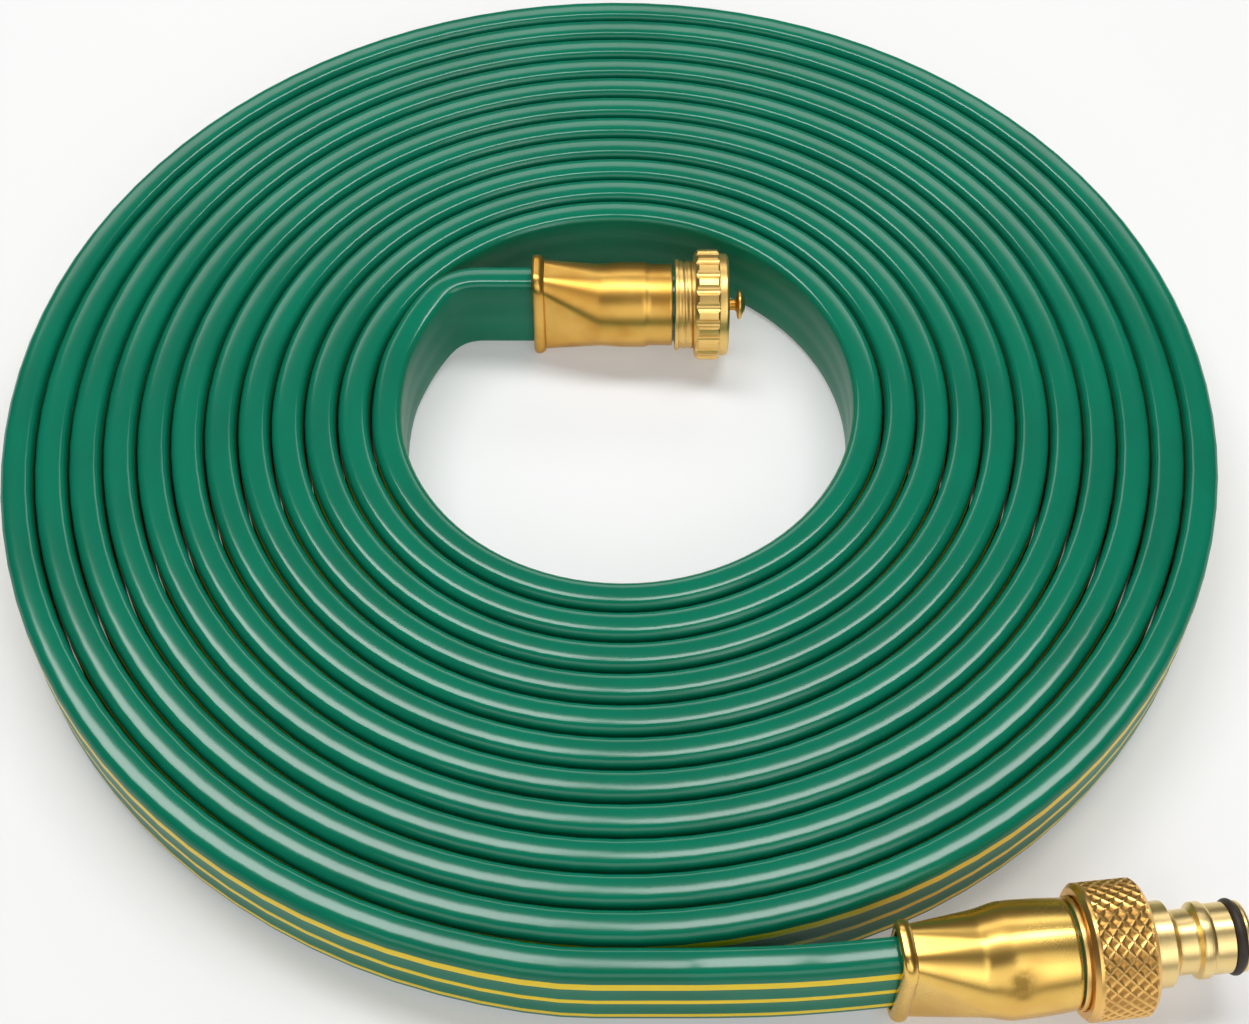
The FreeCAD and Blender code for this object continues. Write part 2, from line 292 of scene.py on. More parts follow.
@dataclass(frozen=True)
class HoseFinish:
    """Semi-gloss green PVC with yellow lines drawn into its outer face."""

    name: str
    lines: tuple[Pair, ...]
    green: Colour = colour(0.0008, 0.195, 0.108)
    deep: Colour = colour(0.0006, 0.165, 0.090)
    yellow: Colour = colour(0.96, 0.69, 0.01)
    roughness: float = 0.15
    gloss: float = 0.54

    def make(self) -> Material:
        """Build the material.

        Returns:
            The material.
        """
        shader = Shader(self.name)
        along, side, height = (shader.attribute(name) for name in ("along", "side", "height"))
        cloud = shader.noise(1.0, 3.0, shader.combine(along * 35.0, side * 60.0, height * 60.0))
        drawn = shader.noise(1.0, 2.0, shader.combine(along * 6.0, side * 1200.0, height * 1200.0))
        green = shader.blend(cloud.ramp(0.3, 0.75), self.green, self.deep)
        mask: Number = 0.0
        for place, half in self.lines:
            edge = half + 0.25 * MM * (cloud - 0.5)
            near = abs(height - place) - edge
            line = near.ramp(-0.0001, 0.0001, 1.0, 0.0)
            mask = line.most(mask)
        tint = shader.blend(mask * side.ramp(0.0005, 0.001), green, self.yellow)
        rough = self.roughness + 0.06 * (cloud - 0.5) + 0.03 * (drawn - 0.5)
        normal = shader.bump(cloud, 0.1, 0.0002)
        sockets = {"Base Color": tint, "Roughness": rough, "Normal": normal, "Specular IOR Level": self.gloss}
        return shader.surface(sockets)


@dataclass(frozen=True)
class RubberFinish:
    """Dark sealing rubber with a faint moulding grain."""

    name: str
    dark: Colour = colour(0.026, 0.017, 0.011)
    worn: Colour = colour(0.045, 0.034, 0.026)

    def make(self) -> Material:
        """Build the material.

        Returns:
            The material.
        """
        shader = Shader(self.name)
        cloud = shader.noise(500.0, 4.0)
        tint = shader.blend(cloud.ramp(0.4, 0.8), self.dark, self.worn)
        rough = 0.52 + 0.2 * (cloud - 0.5)
        normal = shader.bump(cloud, 0.15, 0.0001)
        return shader.surface({"Base Color": tint, "Roughness": rough, "Normal": normal})


# Numbers and outlines


def clamp(value: float) -> float:
    """Hold a number between 0 and 1."""
    return min(1.0, max(0.0, value))


def eased(value: float) -> float:
    """Smooth step from 0 to 1."""
    share = clamp(value)
    return share * share * (3 - 2 * share)


def between(first: Pair, second: Pair, share: float) -> Pair:
    """Point on the way from one to the other."""
    return (first[0] + (second[0] - first[0]) * share, first[1] + (second[1] - first[1]) * share)


def fillet(face: float, outside: float, size: float, steps: int) -> Outline:
    """Round the edge from a turned outside into its front face, all in mm."""
    turns = [QUARTER * i / steps for i in range(steps + 1)]
    return [(face - size + size * math.sin(t), outside - size + size * math.cos(t)) for t in turns]


def go_round(corner_point: Callable[[int, float], Pair], steps: Steps) -> Outline:
    """Go round four corners, with points between them on the sides.

    Args:
        corner_point: point for a corner's number and a share of its turn.
        steps: segments per corner, per narrow and per broad side.

    Returns:
        The closed outline.
    """
    arcs = [[corner_point(n, i / steps[0]) for i in range(steps[0] + 1)] for n in range(4)]
    points: Outline = []
    for n, arc in enumerate(arcs):
        after, count = arcs[(n + 1) % 4][0], steps[1 + n % 2]
        points += arc + [between(arc[-1], after, i / count) for i in range(1, count)]
    return points


def rounded_box(width: float, height: float, corner: float, steps: Steps) -> Outline:
    """Rounded rectangle about the axis.

    Args:
        width: size along the first direction, mm.
        height: size along the second, mm.
        corner: radius of its corners, mm.
        steps: segments per corner, per narrow and per broad side.

    Returns:
        The closed outline.
    """
    def at(n: int, share: float) -> Pair:
        """Point of a corner."""
        turn = QUARTER * (n + share)
        x, y = CORNERS[n][0] * (width / 2 - corner), CORNERS[n][1] * (height / 2 - corner)
        return (x + corner * math.cos(turn), y + corner * math.sin(turn))

    return go_round(at, steps)


def ring_at(x: float, outline: Outline) -> Ring:
    """Put a section, mm, at its place along the axis, as points in metres."""
    return [Vector((x, y, z)) * MM for y, z in outline]


# Modelling helpers


def object_mode() -> None:
    """Leave edit mode and select nothing."""
    if bpy.context.object and bpy.context.object.mode != "OBJECT":
        bpy.ops.object.mode_set(mode="OBJECT")
    bpy.ops.object.select_all(action="DESELECT")


def focus(made: Piece) -> None:
    """Make one piece active, and the only one selected."""
    object_mode()
    bpy.context.view_layer.objects.active = made
    made.select_set(True)


@contextmanager
def editing(made: Piece) -> Iterator[None]:
    """Edit one piece with all of its mesh selected."""
    focus(made)
    bpy.ops.object.mode_set(mode="EDIT")
    bpy.ops.mesh.select_all(action="SELECT")
    yield
    bpy.ops.object.mode_set(mode="OBJECT")


def add_mesh(
    name: str, points: Sequence[Vector], faces: Sequence[Sequence[int]], edges: Sequence[Sequence[int]] = (),
) -> Piece:
    """Make a piece from points and faces.

    Args:
        name: name of the piece.
        points: its vertices, metres.
        faces: vertex numbers of each face.
        edges: vertex numbers of each loose edge.

    Returns:
        The piece, selected and active.
    """
    mesh = bpy.data.meshes.new(name)
    mesh.from_pydata([tuple(p) for p in points], list(edges), list(faces))
    mesh.update()
    made = bpy.data.objects.new(name, mesh)
    bpy.context.scene.collection.objects.link(made)
    focus(made)
    return made


def weld(made: Piece) -> None:
    """Merge doubled points and turn all faces outwards."""
    with editing(made):
        bpy.ops.mesh.remove_doubles(threshold=0.004 * MM)
        bpy.ops.mesh.normals_make_consistent(inside=False)


def spun(name: str, profile: Outline, steps: int, gap: Optional[int] = None) -> Piece:
    """Spin an outline round the fitting's axis.

    Args:
        name: name of the piece.
        profile: (place along the axis, radius) in mm.
        steps: number of segments round the axis.
        gap: point whose side to the next point is left open for another surface.

    Returns:
        The turned piece, welded if it is closed.
    """
    count = len(profile)
    points = [Vector((x * MM, r * MM, 0.0)) for x, r in profile]
    edges = [(i, (i + 1) % count) for i in range(count) if gap is None or i != gap % count]
    made = add_mesh(name, points, [], edges)
    with editing(made):
        bpy.ops.mesh.spin(steps=steps, angle=math.tau, center=(0, 0, 0), axis=(1, 0, 0))
    if gap is None:
        weld(made)
    return made


def smoothed(made: Piece, angle: float) -> None:
    """Smooth the shading up to an angle in degrees."""
    focus(made)
    bpy.ops.object.shade_smooth_by_angle(angle=math.radians(angle))


def skin(name: str, rings: Sequence[Ring], loop: bool = False) -> Piece:
    """Cover rings of equal length with quads.

    Args:
        name: name of the piece.
        rings: its sections in order, metres.
        loop: whether the last is joined to the first; else both ends are capped.

    Returns:
        The closed piece.
    """
    count = len(rings[0])
    points = [p for ring in rings for p in ring]
    faces: list[list[int]] = []
    spans = len(rings) if loop else len(rings) - 1
    for i in range(spans):
        low = i * count
        high = (i + 1) % len(rings) * count
        for k in range(count):
            n = (k + 1) % count
            faces.append([low + k, low + n, high + n, high + k])
    if not loop:
        faces.append(list(range(count))[::-1])
        faces.append([len(points) - count + k for k in range(count)])
    return add_mesh(name, points, faces)


def field_band(
    name: str, stations: Sequence[float], steps: int, radius: Callable[[float, float], float],
) -> Piece:
    """Open band round the axis whose radius depends on place and angle, split along its creases.

    Args:
        name: name of the band.
        stations: places along the axis, mm.
        steps: segments round the axis.
        radius: radius in mm from (place, angle).

    Returns:
        The band, with no ends.
    """
    turns = [math.tau * k / steps for k in range(steps)]
    radii = [[radius(x, turn) for turn in turns] for x in stations]
    points: list[Vector] = []
    for x, row in zip(stations, radii):
        points += [Vector((x, r * math.cos(t), r * math.sin(t))) * MM for r, t in zip(row, turns)]
    heights = [r for row in radii for r in row]
    level = 1e-6
    faces: list[list[int]] = []
    for i in range(len(stations) - 1):
        for k in range(steps):
            n = (k + 1) % steps
            a, b, c, d = i * steps + k, i * steps + n, (i + 1) * steps + n, (i + 1) * steps + k
            first = abs(heights[a] - heights[c])
            second = abs(heights[b] - heights[d])
            lower = heights[b] + heights[d] < heights[a] + heights[c]
            if second < first - level or (abs(second - first) <= level and lower):
                faces += [[a, b, d], [b, c, d]]
            else:
                faces += [[a, b, c], [a, c, d]]
    return add_mesh(name, points, faces)


def joined(name: str, parts: Sequence[Piece]) -> Piece:
    """Join pieces into one and weld their seams.

    Args:
        name: name of the whole.
        parts: the pieces.

    Returns:
        The whole.
    """
    object_mode()
    for part in parts:
        part.select_set(True)
    bpy.context.view_layer.objects.active = parts[0]
    bpy.ops.object.join()
    made = bpy.context.object
    made.name = name
    weld(made)
    return made


def store(made: Piece, name: str, values: Sequence[float]) -> None:
    """Keep one number per point under a name that a material reads."""
    made.data.attributes.new(name, "FLOAT", "POINT").data.foreach_set("value", values)


def mark_along(made: Piece) -> None:
    """Store each point's place along the fitting's axis."""
    store(made, "along", [v.co.x for v in made.data.vertices])


@dataclass
class Fitting:
    """Place of one fitting, mm and degrees: the mouth of its ferrule on the hose, and its heading."""

    mouth: Pair
    yaw: float
    height: float = 15.0

    @property
    def start(self) -> Vector:
        """Mouth of the ferrule, about the coil's own centre, mm."""
        return Vector((*self.mouth, self.height))

    @property
    def heading(self) -> Vector:
        """Unit vector along the fitting's axis."""
        return Vector((math.cos(math.radians(self.yaw)), math.sin(math.radians(self.yaw)), 0))

    def matrix(self) -> Matrix:
        """From the fitting's own axis to the row frame, metres."""
        place = (self.start + SHIFT) * MM
        return Matrix.Translation(place) @ Matrix.Rotation(math.radians(self.yaw), 4, "Z")

    def place(self, made: Piece, finish: Material, body: Body, slot: Slot, *nodes: str) -> None:
        """Dress a piece, put it in place, tie it to its body and hide the CAD nodes that it stands for.

        Args:
            made: the piece, along its own axis.
            finish: its material.
            body: body that it rides on.
            slot: material slot of the record; not used.
            nodes: CAD nodes that it stands for.
        """
        made.data.materials.clear()
        made.data.materials.append(finish)
        made.data.transform(self.matrix())
        made.data.update()
        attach(made, body.value)
        if nodes:
            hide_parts(*nodes)
        log.info("%s: %d faces", made.name, len(made.data.polygons))


# Hose


@dataclass
class BandSection:
    """Section of the three-channel band, mm: x outwards, y up; lobe and belly round its broad faces."""

    width: float = 23.0
    thickness: float = 7.0
    corner: float = 1.5
    lobe: float = 0.22
    belly: float = 0.35
    top_crown: float = 0.4
    steps: Steps = (6, 5, 15)

    def outline(self) -> Outline:
        """Crown and belly a rounded box.

        Returns:
            (x, y) per point.
        """
        half, tall = self.thickness / 2, self.width / 2
        flat = rounded_box(self.thickness, self.width, self.corner, self.steps)
        points: Outline = []
        for x, y in flat:
            channel = math.cos(3 * math.pi * y / self.width) ** 2
            edge = max(0.0, 1 - (abs(y) / tall) ** 4)
            grow = (self.lobe * channel + (self.belly if x > 0 else 0.0)) * edge * (abs(x) / half) ** 2
            lift = self.top_crown * max(0.0, 1 - (x / half) ** 2)
            crown = math.copysign(lift, y) * (abs(y) / tall) ** 6
            points.append((x + math.copysign(grow, x), y * (1 - self.top_crown / tall) + crown))
        return points


@dataclass
class HoseRoute:
    """Centreline of the hose, mm, about the coil's own centre, as the part's source has it."""

    inlet: Fitting
    cap: Fitting
    pitch: float = 8.1
    base: float = 55.2
    quarters: int = 44
    straight: float = 7.6
    middle: float = 11.5
    steps: int = 6
    overlap: float = 1.0
    inlet_reach: float = 16.0
    outer_reach: float = 11.5
    cap_reach: float = 9.0
    bend: tuple[Place, ...] = (
        (-56.63, 10.17, 0.1), (-52.82, 21.18, 0.7), (-49.4, 28.0, 1.4), (-45.2, 33.9, 2.2),
        (-39.4, 36.6, 3.0))

    def bearing(self, angle: float) -> Vector:
        """Unit vector from the coil's centre, counter-clockwise from +Y."""
        turn = math.radians(angle)
        return Vector((-math.sin(turn), math.cos(turn), 0.0))

    def coil(self) -> list[Vector]:
        """Go round the turns from the inside out.

        Returns:
            Control points, mm.
        """
        step = 90.0 / self.steps
        hold = (3 + math.cos(math.radians(step))) / 4
        offset = self.pitch / 8
        radius = self.base + self.pitch / 2 + offset
        centre = Vector((offset, offset, self.middle))
        arcs = [(centre + self.bearing(180) * (2 * offset), radius - 2 * offset)]
        for n in range(self.quarters):
            arcs.append((centre, radius))
            centre = centre - self.bearing(270 + 90 * n) * (self.pitch / 4)
            radius += self.pitch / 4
        turns = [step * (i + 0.5) for i in range(self.steps)]
        points: list[Vector] = []
        for n, (middle, reach) in enumerate(arcs, 1):
            points += [middle + self.bearing(90 * n + turn) * (reach / hold) for turn in turns]
        last = centre + self.bearing(90 * (self.quarters + 2)) * radius
        return points + [last + Vector((self.straight, 0, 0))]

    def control_points(self) -> list[Vector]:
        """Join the leads to the turns, from the inlet's ferrule to the cap's.

        Returns:
            Control points in the row frame, metres.
        """
        turns = self.coil()
        start, end = self.inlet.start, self.cap.start
        along, across = self.inlet.heading, self.cap.heading
        outer = [start + along * self.overlap, start - along * self.inlet_reach]
        outer.append(turns[-1] + Vector((self.outer_reach, 0, 0)))
        inner = [Vector((x, y, self.middle + rise)) for x, y, rise in self.bend]
        inner += [end - across * self.cap_reach, end + across * self.overlap]
        return [(p + SHIFT) * MM for p in outer + turns[::-1] + inner]


@dataclass
class Hose:
    """The hose band with its two crimped ends."""

    route: HoseRoute
    section: BandSection
    smoothness: int = 4
    edge_width: float = 0.4
    length: float = 0.0
    line: list[Vector] = field(default_factory=list)

    def centreline(self) -> list[Vector]:
        """Trace the route's smooth spline.

        Returns:
            Points in order, metres.
        """
        object_mode()
        curve = bpy.data.curves.new("hose_route", "CURVE")
        curve.dimensions = "3D"
        spline = curve.splines.new("NURBS")
        control = self.route.control_points()
        spline.points.add(len(control) - 1)
        for point, place in zip(spline.points, control):
            point.co = (*place, 1.0)
        spline.order_u = 3
        spline.use_endpoint_u = True
        curve.resolution_u = self.smoothness
        guide = bpy.data.objects.new("hose_route", curve)
        bpy.context.scene.collection.objects.link(guide)
        bpy.context.view_layer.update()
        traced = bpy.data.meshes.new_from_object(guide.evaluated_get(bpy.context.evaluated_depsgraph_get()))
        line = [v.co.copy() for v in traced.vertices]
        bpy.data.objects.remove(guide)
        bpy.data.meshes.remove(traced)
        return line

    def build(self, finish: Material, sides: Material) -> Piece:
        """Sweep the section along the route, upright all the way.

        Args:
            finish: finish of the narrow edges.
            sides: finish of the broad faces.

        Returns:
            The band.
        """
        line = self.centreline()
        outline = self.section.outline()
        rings: list[Ring] = []
        along: list[float] = []
        distance = 0.0
        for i, point in enumerate(line):
            before = line[max(i - 1, 0)]
            after = line[min(i + 1, len(line) - 1)]
            heading = (after - before).normalized()
            outwards = UP.cross(heading).normalized()
            rise = heading.cross(outwards).normalized()
            if i:
                distance += (point - before).length
            rings.append([point + outwards * (x * MM) + rise * (y * MM) for x, y in outline])
            along += [distance] * len(outline)
        made = skin("hose", rings)
        store(made, "along", along)
        store(made, "side", [x * MM for x, _ in outline] * len(line))
        store(made, "height", [y * MM for _, y in outline] * len(line))
        smoothed(made, 60.0)
        made.data.materials.append(finish)
        made.data.materials.append(sides)
        reach = self.section.thickness / 2 - self.edge_width
        outer = [abs(x) > reach for x, _ in outline]
        broad = [here and after for here, after in zip(outer, outer[1:] + outer[:1])]
        for index, face in enumerate(made.data.polygons[: len(broad) * (len(line) - 1)]):
            face.material_index = int(broad[index % len(broad)])
        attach(made, Body.HOSE.value)
        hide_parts("hose_coil", "hose_outer_lead", "hose_inner_lead")
        log.info("hose: %.3f m, %d faces", distance, len(made.data.polygons))
        self.length = distance
        self.line = line
        return made


# Brass fittings


@dataclass
class Ferrule:
    """Pressed sleeve, flat at its beaded mouth and round behind; sizes in mm.

    The dimple is its place along the sleeve, its angle in degrees and its depth; round it the material paints
    a dark reflection.
    """

    name: str
    length: float
    diameter: float
    bore: float
    neck: float
    end_diameter: float
    step_length: float = 0.0
    step_slope: float = 0.8
    wall: float = 1.0
    rim: float = 0.12
    hose_room: float = 0.05
    mouth_height: float = 27.2
    mouth_thick: float = 9.8
    mouth_corner: float = 2.6
    bead_length: float = 3.2
    bead_proud: float = 1.35
    neck_share: float = 0.48
    round_share: float = 0.67
    flat_angle: float = 4.0
    least_corner: float = 0.6
    steps: Steps = (10, 5, 9)
    dimple: Place = (0.0, 0.0, 0.0)
    dimple_reach: Pair = (2.4, 3.0)
    painted_reflection_reach: Pair = (3.0, 3.4)

    def disc(self, radius: float) -> Outline:
        """Circle with its points spread as the rectangle's are.

        Args:
            radius: its radius, mm.

        Returns:
            (y, z) per point.
        """
        flat = math.radians(self.flat_angle)

        def at(n: int, share: float) -> Pair:
            """Point of a corner."""
            angle = QUARTER * n + flat + (QUARTER - 2 * flat) * share
            return (radius * math.cos(angle), radius * math.sin(angle))

        points = go_round(at, self.steps)
        return [(y * radius / math.hypot(y, z), z * radius / math.hypot(y, z)) for y, z in points]

    def near_dimple(self, point: Sequence[float], reach: Pair) -> float:
        """Tell how near the dimple's middle a point lies.

        Args:
            point: (x, y, z) in mm.
            reach: spread along and round the sleeve, mm.

        Returns:
            1 in the middle, falling to 0.
        """
        place, angle, _ = self.dimple
        x, y, z = point
        turn = math.atan2(z, y) - math.radians(angle)
        arc = math.atan2(math.sin(turn), math.cos(turn)) * math.hypot(y, z)
        return math.exp(-((x - place) / reach[0]) ** 2 - (arc / reach[1]) ** 2)

    def outline(self, x: float, inset: float) -> Outline:
        """Section at a place along the sleeve.

        Args:
            x: place along the axis, mm.
            inset: how far inside the outer face it lies, mm.

        Returns:
            (y, z) per point.
        """
        place = x / self.length
        rise = eased((place - self.neck_share + 0.02) / (self.round_share - self.neck_share))
        share = min(1.0, place / self.neck_share)
        radius = (self.neck + (self.diameter - self.neck) * rise) / 2
        narrowing = (self.end_diameter - self.diameter) / 2
        if inset:
            radius = (self.neck / 2 - self.wall) * (1 - rise) + self.bore / 2 * rise + (self.wall - inset)
        elif self.step_length:
            radius += narrowing * eased((x - (self.length - self.step_length)) / self.step_slope)
        else:
            radius += narrowing * clamp((place - self.round_share) / (1 - self.round_share)) ** 2
        proud = 0.0
        if not inset and x < self.bead_length:
            half = self.bead_length / 2
            proud = self.bead_proud * math.sqrt(max(0.0, 1 - ((x - half) / half) ** 2))
        grow = proud - inset
        corner = max(self.least_corner, self.mouth_corner + grow)
        mouth = rounded_box(self.mouth_thick + 2 * grow, self.mouth_height + 2 * grow, corner, self.steps)
        points = [between(a, b, share) for a, b in zip(mouth, self.disc(radius))]
        depth = self.dimple[2]
        if depth and not inset:
            for i, (y, z) in enumerate(points):
                keep = 1 - depth * self.near_dimple((x, y, z), self.dimple_reach) / math.hypot(y, z)
                points[i] = (y * keep, z * keep)
        return points

    def ring(self, x: float, inset: float) -> Ring:
        """Section as points in metres."""
        return ring_at(x, self.outline(x, inset))

    def build(self) -> Piece:
        """Skin the outside and the inside into one closed sleeve.

        Returns:
            The sleeve.
        """
        bead_steps, body_steps, inside_steps = 12, 44, 16
        body = self.length - self.bead_length
        turns = [math.pi * i / bead_steps for i in range(bead_steps + 1)]
        places = [self.bead_length * (1 - math.cos(turn)) / 2 for turn in turns]
        places += [self.bead_length + body * i / body_steps for i in range(1, body_steps)]
        rings = [self.ring(x, 0.0) for x in places + [self.length - self.rim]]
        edge = self.ring(self.length, 0.0)
        inner = self.ring(self.length, self.wall)
        rings += [[p.lerp(q, share) for p, q in zip(edge, inner)] for share in (0.12, 0.85)]
        rings += [self.ring(self.length * (1 - i / inside_steps), self.wall) for i in range(inside_steps)]
        rings += [self.ring(x, self.wall * share) for x, share in ((0.5, 1.0), (0.15, 0.8), (0.0, 0.4))]
        made = skin(self.name, rings, loop=True)
        weld(made)
        smoothed(made, 50.0)
        self.mark_painted_reflection(made)
        return made

    def mark_painted_reflection(self, made: Piece) -> None:
        """Store how near each point is to the dimple, where the material paints a dark reflection."""
        reach, dented = self.painted_reflection_reach, self.dimple[2] > 0
        points = [vertex.co / MM for vertex in made.data.vertices]
        store(made, "painted_shade_and_reflection", [self.near_dimple(p, reach) if dented else 0.0 for p in points])

    def hose_end(self, name: str, section: BandSection, tail: "Tail") -> Piece:
        """Shape the hose's end inside this sleeve, opened over the tail's spigot.

        Args:
            name: name of the piece.
            section: section of the hose.
            tail: tail that it is pushed over.

        Returns:
            The hose's end.
        """
        first, spread_from, spread_over, steps = 0.8, 1.5, 6.0, 24
        start = rounded_box(section.thickness, section.width, section.corner, self.steps)
        end = self.length + tail.hose_out
        rings: list[Ring] = []
        for i in range(steps + 1):
            x = first + (end - first) * i / steps
            inner = self.outline(min(x, self.length), self.wall + self.hose_room)
            share = clamp((x - spread_from) / spread_over)
            rings.append(ring_at(x, [between(a, b, share) for a, b in zip(start, inner)]))
        hole = self.disc(tail.spigot / 2 + self.hose_room)
        rings += [ring_at(x, hole) for x in (end, self.length - tail.inside)]
        made = skin(name, rings)
        weld(made)
        smoothed(made, 50.0)
        return made


@dataclass
class Tail:
    """Spigot, collar and threaded nose, mm along the fitting's axis."""

    name: str
    ferrule_length: float
    hose_out: float
    thread_length: float
    bore: float = 13.5
    spigot: float = 17.6
    inside: float = 14.5
    collar: float = 23.6
    collar_length: float = 1.0
    thread: float = 22.8
    pitch: float = 1.814
    thread_depth: float = 0.3
    groove_half: float = 0.42
    root_flat: float = 1.08
    thread_start: Pair = (0.15, 0.5)
    chamfer: float = 0.9
    barb: float = 0.4
    barb_pitch: float = 3.2
    edge: float = 0.15

    @property
    def nose(self) -> float:
        """Where the thread starts."""
        return self.ferrule_length + self.hose_out + self.collar_length

    @property
    def end(self) -> float:
        """Face that the washer seals against."""
        return self.nose + self.thread_length

    def thread_radius(self, x: float, turn: float) -> float:
        """Radius of the thread's flank.

        Args:
            x: place along the axis, mm.
            turn: angle round it.

        Returns:
            The radius, mm.
        """
        phase = (x / self.pitch - turn / math.tau) % 1.0
        groove = max(0.0, 1 - abs(phase - 0.5) / self.groove_half)
        start = clamp((x - self.nose - self.thread_start[0]) / self.thread_start[1])
        full = self.thread / 2 - self.thread_depth * min(1.0, groove * self.root_flat) * start
        return min(full, self.thread / 2 - max(0.0, x - (self.end - self.chamfer)))

    def build(self) -> Piece:
        """Turn the plain part and join the cut thread to it.

        Returns:
            The tail.
        """
        steps, rows_per_turn = 96, 10
        start = self.ferrule_length - self.inside
        collar = self.ferrule_length + self.hose_out
        low, rim, thread = self.spigot / 2 - self.barb, self.collar / 2, self.thread / 2
        profile = [(start, self.bore / 2), (start, low)]
        for i in range(3):
            barb = start + self.barb_pitch * (i + 1)
            profile += [(barb, self.spigot / 2), (barb, low)]
        profile += [(collar, low), (collar, rim - self.edge), (collar + self.edge, rim)]
        profile += [(self.nose - self.edge, rim), (self.nose, rim - self.edge), (self.nose, thread)]
        profile += [(self.end, thread - self.chamfer), (self.end, self.bore / 2)]
        plain = spun(self.name + "_plain", profile, steps, gap=-3)
        rows = max(8, round(self.thread_length / self.pitch * rows_per_turn))
        stations = [self.nose + self.thread_length * i / rows for i in range(rows + 1)]
        band = field_band(self.name + "_thread", stations, steps, self.thread_radius)
        made = joined(self.name, [plain, band])
        mark_along(made)
        smoothed(made, 38.0)
        return made


@dataclass
class Connector:
    """Knurled nut turned in one piece with its quick-connect plug, mm."""

    tail: Tail
    gap: float = 0.3
    length: float = 13.5
    diameter: float = 28.4
    chamfer: float = 0.9
    rear_band: float = 1.6
    front_band: float = 0.5
    knurls: int = 30
    knurl_rows: float = 4.9
    knurl_depth: float = 0.3
    knurl_slope: float = 1.7
    knurl_end: float = 0.35
    pit_margins: Pair = (1.2, 0.9)
    washer: float = 2.0
    seat_room: float = 0.02
    lead_in: float = 0.5
    bore: float = 10.5
    groove_start: float = 18.0
    groove_width: float = 2.2
    ring_diameter: float = 15.9
    ring_section: float = 1.9
    ring_stretch: float = 1.06
    plug_length: float = 21.5
    tip_radius: float = 7.4
    tip_round: float = 0.8
    bore_chamfer: float = 0.4

    @property
    def rear(self) -> float:
        """Rear face of the nut."""
        return self.tail.nose + self.gap

    @property
    def front(self) -> float:
        """Front face of the nut."""
        return self.rear + self.length

    def knurled_radius(self, x: float, turn: float) -> float:
        """Radius of the diamond pattern: crossing ridges with pits between, cut back by the rim chamfers.

        Args:
            x: place along the axis, mm.
            turn: angle round it.

        Returns:
            The radius, mm.
        """
        across = turn / math.tau * self.knurls
        up = (x - self.rear) / self.length * self.knurl_rows
        first = (across + up) % 1.0
        second = (across - up) % 1.0
        pyramid = min(0.5 - abs(first - 0.5), 0.5 - abs(second - 0.5)) * 2
        room = min(x - self.rear - self.rear_band, self.front - self.front_band - x)
        depth = self.knurl_depth * min(1.0, pyramid * self.knurl_slope) * clamp(room / self.knurl_end)
        rim = max(0.0, min(x - self.rear, self.front - x))
        return min(self.diameter / 2 - depth, self.diameter / 2 - self.chamfer + rim)

    def build(self) -> Piece:
        """Turn the plain faces and join the knurled band to them.

        Returns:
            The nut and plug.
        """
        steps, rows = self.knurls * 12, round(self.knurl_rows * 12)
        stations = [self.rear + self.length * i / rows for i in range(rows + 1)]
        band = field_band("connector_knurl", stations, steps, self.knurled_radius)
        rim, bore = self.diameter / 2 - self.chamfer, self.bore / 2
        seat = self.tail.end + self.washer + self.seat_room
        female = self.tail.thread / 2 + THREAD_ROOM
        floor = self.ring_diameter / 2 - self.ring_section
        groove = self.front + self.groove_start
        wall = groove + self.groove_width
        tip = self.front + self.plug_length
        profile = [(self.front, rim)] + [(self.front + x, r) for x, r in PLUG]
        profile += [(groove - 0.15, 7.3), (groove, 7.15), (groove, floor)]
        profile += [(wall, floor), (wall, self.tip_radius - 0.12), (wall + 0.12, self.tip_radius)]
        profile += fillet(tip, self.tip_radius, self.tip_round, 6)
        profile += [(tip, bore + self.bore_chamfer), (tip - self.bore_chamfer, bore)]
        profile += [(seat, bore), (seat, female)]
        profile += [(self.rear + self.lead_in, female), (self.rear, female + self.lead_in), (self.rear, rim)]
        plain = spun("connector_plain", profile, steps, gap=-1)
        made = joined("connector_body", [plain, band])
        self.mark_pit_shade(made)
        mark_along(made)
        smoothed(made, 24.0)
        return made

    def mark_pit_shade(self, made: Piece) -> None:
        """Store how deep in a pit of the knurl each point lies, for the painted shade in the pits.

        Args:
            made: the nut and plug.
        """
        low, high = self.rear + self.pit_margins[0], self.front - self.pit_margins[1]
        full, least = self.diameter / 2, self.knurl_depth + 0.05
        points = [(v.co.x / MM, full - math.hypot(v.co.y, v.co.z) / MM) for v in made.data.vertices]
        pits = [max(0.0, depth) if low < x < high and depth < least else 0.0 for x, depth in points]
        store(made, "painted_shade_and_reflection", [depth / self.knurl_depth for depth in pits])

    def sealing_ring(self) -> Piece:
        """Shape the ring in the plug's groove.

        Returns:
            The ring.
        """
        half, steps = self.ring_section / 2, 20
        place = self.front + self.groove_start + self.groove_width / 2
        turns = [math.tau * i / steps for i in range(steps)]
        middle = self.ring_diameter / 2 - half
        wide = half * self.ring_stretch
        profile = [(place + wide * math.sin(t), middle + half * math.cos(t)) for t in turns]
        made = spun("plug_ring", profile, 96)
        smoothed(made, 60.0)
        return made


